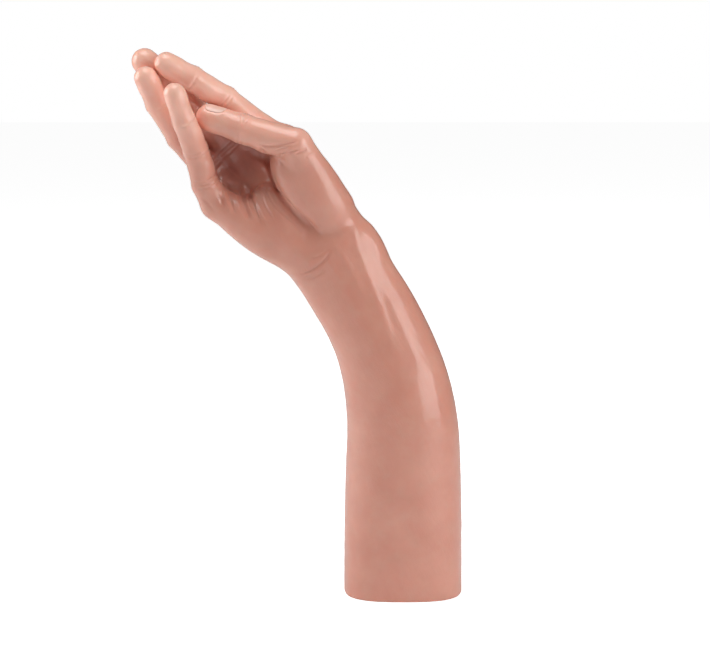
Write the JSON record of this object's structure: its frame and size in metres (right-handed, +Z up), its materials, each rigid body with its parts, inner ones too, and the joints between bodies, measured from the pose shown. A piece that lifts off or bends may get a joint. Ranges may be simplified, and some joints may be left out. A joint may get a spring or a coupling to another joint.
{
  "type": "prosthetic hand",
  "caption": "Passive right prosthetic hand on a bent forearm, with a soft skin over a posable frame and a threaded flat end.",
  "frame": {"origin": "centre of the threaded hole in the flat proximal end, on that end", "axes": "+Z up the forearm, the hand leans towards -X, the palm faces -Y and the thumb is on the +X side"},
  "size_m": [0.2101, 0.0684, 0.3511],
  "materials": {
    "skin": "gloss",
    "nail": "gloss",
    "foam": "matte",
    "steel": "satin",
    "aluminium": "satin",
    "fasteners": "satin",
    "plastic": "matte"
  },
  "bodies": {
    "forearm": {"forearm_skin": "skin", "forearm_core": "foam", "forearm_tube": "steel", "end_plate": "steel", "end_plate_screws": "fasteners", "tube_socket": "steel", "tube_set_screws": "fasteners", "wrist_base": "aluminium", "wrist_housing": "aluminium", "wrist_screws": "fasteners", "friction_washers": "plastic"},
    "wrist": {"wrist_yoke": "steel", "wrist_core": "foam", "wrist_skin": "skin", "wrist_pin": "fasteners"},
    "hand": {"palm_frame": "aluminium", "palm_core": "foam", "palm_skin": "skin", "knuckle_pins": "fasteners"},
    "index_proximal": {"index_proximal_skin": "skin", "index_proximal_phalanx": "plastic", "index_middle_pin": "fasteners"},
    "index_distal": {"index_distal_skin": "skin", "index_distal_phalanx": "plastic", "index_nail": "nail"},
    "middle_proximal": {"middle_proximal_skin": "skin", "middle_proximal_phalanx": "plastic", "middle_middle_pin": "fasteners"},
    "middle_distal": {"middle_distal_skin": "skin", "middle_distal_phalanx": "plastic", "middle_nail": "nail"},
    "ring_proximal": {"ring_proximal_skin": "skin", "ring_proximal_phalanx": "plastic", "ring_middle_pin": "fasteners"},
    "ring_distal": {"ring_distal_skin": "skin", "ring_distal_phalanx": "plastic", "ring_nail": "nail"},
    "little_proximal": {"little_proximal_skin": "skin", "little_proximal_phalanx": "plastic", "little_middle_pin": "fasteners"},
    "little_distal": {"little_distal_skin": "skin", "little_distal_phalanx": "plastic", "little_nail": "nail"},
    "thumb_proximal": {"thumb_proximal_skin": "skin", "thumb_proximal_phalanx": "plastic", "thumb_middle_pin": "fasteners"},
    "thumb_distal": {"thumb_distal_skin": "skin", "thumb_distal_phalanx": "plastic", "thumb_nail": "nail"}
  },
  "joints": [
    {"name": "wrist_rotation", "type": "hinge", "parent": "forearm", "child": "wrist", "pos_m": [-0.04484, 0, 0.21937], "axis": [-0.5299, 0, 0.848], "range_deg": [-30, 30]},
    {"name": "wrist_flexion", "type": "hinge", "parent": "wrist", "child": "hand", "pos_m": [-0.04484, 0, 0.21937], "axis": [0.848, 0, 0.5299], "range_deg": [-25, 25]},
    {"name": "index_root", "type": "hinge", "parent": "hand", "child": "index_proximal", "pos_m": [-0.09032, 0.00765, 0.30098], "axis": [-0.576, 0.6982, -0.4251], "range_deg": [0, 20]},
    {"name": "index_middle", "type": "hinge", "parent": "index_proximal", "child": "index_distal", "pos_m": [-0.11353, 0.00015, 0.32011], "axis": [-0.5319, 0.7045, -0.47], "range_deg": [0, 15]},
    {"name": "middle_root", "type": "hinge", "parent": "hand", "child": "middle_proximal", "pos_m": [-0.11036, 0.01705, 0.28652], "axis": [-0.7254, 0, -0.6884], "range_deg": [0, 20]},
    {"name": "middle_middle", "type": "hinge", "parent": "middle_proximal", "child": "middle_distal", "pos_m": [-0.1307, 0.01184, 0.30795], "axis": [-0.7431, 0, -0.6691], "range_deg": [0, 20]},
    {"name": "ring_root", "type": "hinge", "parent": "hand", "child": "ring_proximal", "pos_m": [-0.12539, 0.0131, 0.27295], "axis": [-0.2967, -0.7961, -0.5274], "range_deg": [0, 18]},
    {"name": "ring_middle", "type": "hinge", "parent": "ring_proximal", "child": "ring_distal", "pos_m": [-0.14402, 0.00534, 0.29515], "axis": [-0.2703, -0.7892, -0.5515], "range_deg": [0, 12]},
    {"name": "little_root", "type": "hinge", "parent": "hand", "child": "little_proximal", "pos_m": [-0.12645, -0.00386, 0.26582], "axis": [-0.7729, -0.4967, -0.3948], "range_deg": [0, 18]},
    {"name": "little_middle", "type": "hinge", "parent": "little_proximal", "child": "little_distal", "pos_m": [-0.13162, -0.01363, 0.28825], "axis": [-0.7225, -0.4808, -0.4968], "range_deg": [-30, 8]},
    {"name": "thumb_root", "type": "hinge", "parent": "hand", "child": "thumb_proximal", "pos_m": [-0.06886, -0.02065, 0.29207], "axis": [0.3079, 0.5709, 0.7611], "range_deg": [0, 25]},
    {"name": "thumb_middle", "type": "hinge", "parent": "thumb_proximal", "child": "thumb_distal", "pos_m": [-0.10117, -0.01574, 0.30145], "axis": [0.3248, 0.7948, 0.5127], "range_deg": [-25, 8]}
  ],
  "couplings": [
    {"joint": "little_root", "follows": "ring_root", "ratio": 1}
  ]
}
